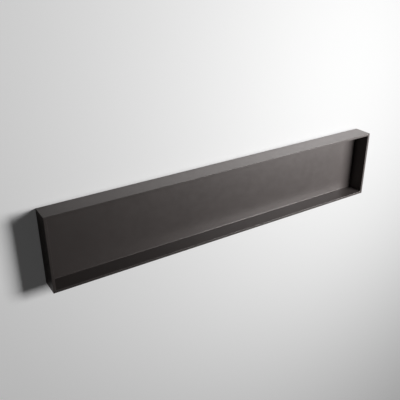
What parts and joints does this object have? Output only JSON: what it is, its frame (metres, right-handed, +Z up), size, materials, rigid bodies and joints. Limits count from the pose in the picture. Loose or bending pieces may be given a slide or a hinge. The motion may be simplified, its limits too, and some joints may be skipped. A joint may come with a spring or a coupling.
{
  "type": "shower niche insert",
  "caption": "Long shallow rectangular box with thin walls and an open front, a seamless matt insert that forms a recessed bath or shower shelf on a wall.",
  "frame": {"origin": "centre of the flat back face, on the wall plane", "axes": "+X along the length to the right as seen from the front, +Y into the wall, +Z up; the open front faces -Y"},
  "size_m": [1.495, 0.08, 0.295],
  "materials": {
    "solid_surface": "matte"
  },
  "bodies": {
    "root": {"niche_insert": "solid_surface"}
  },
  "joints": []
}
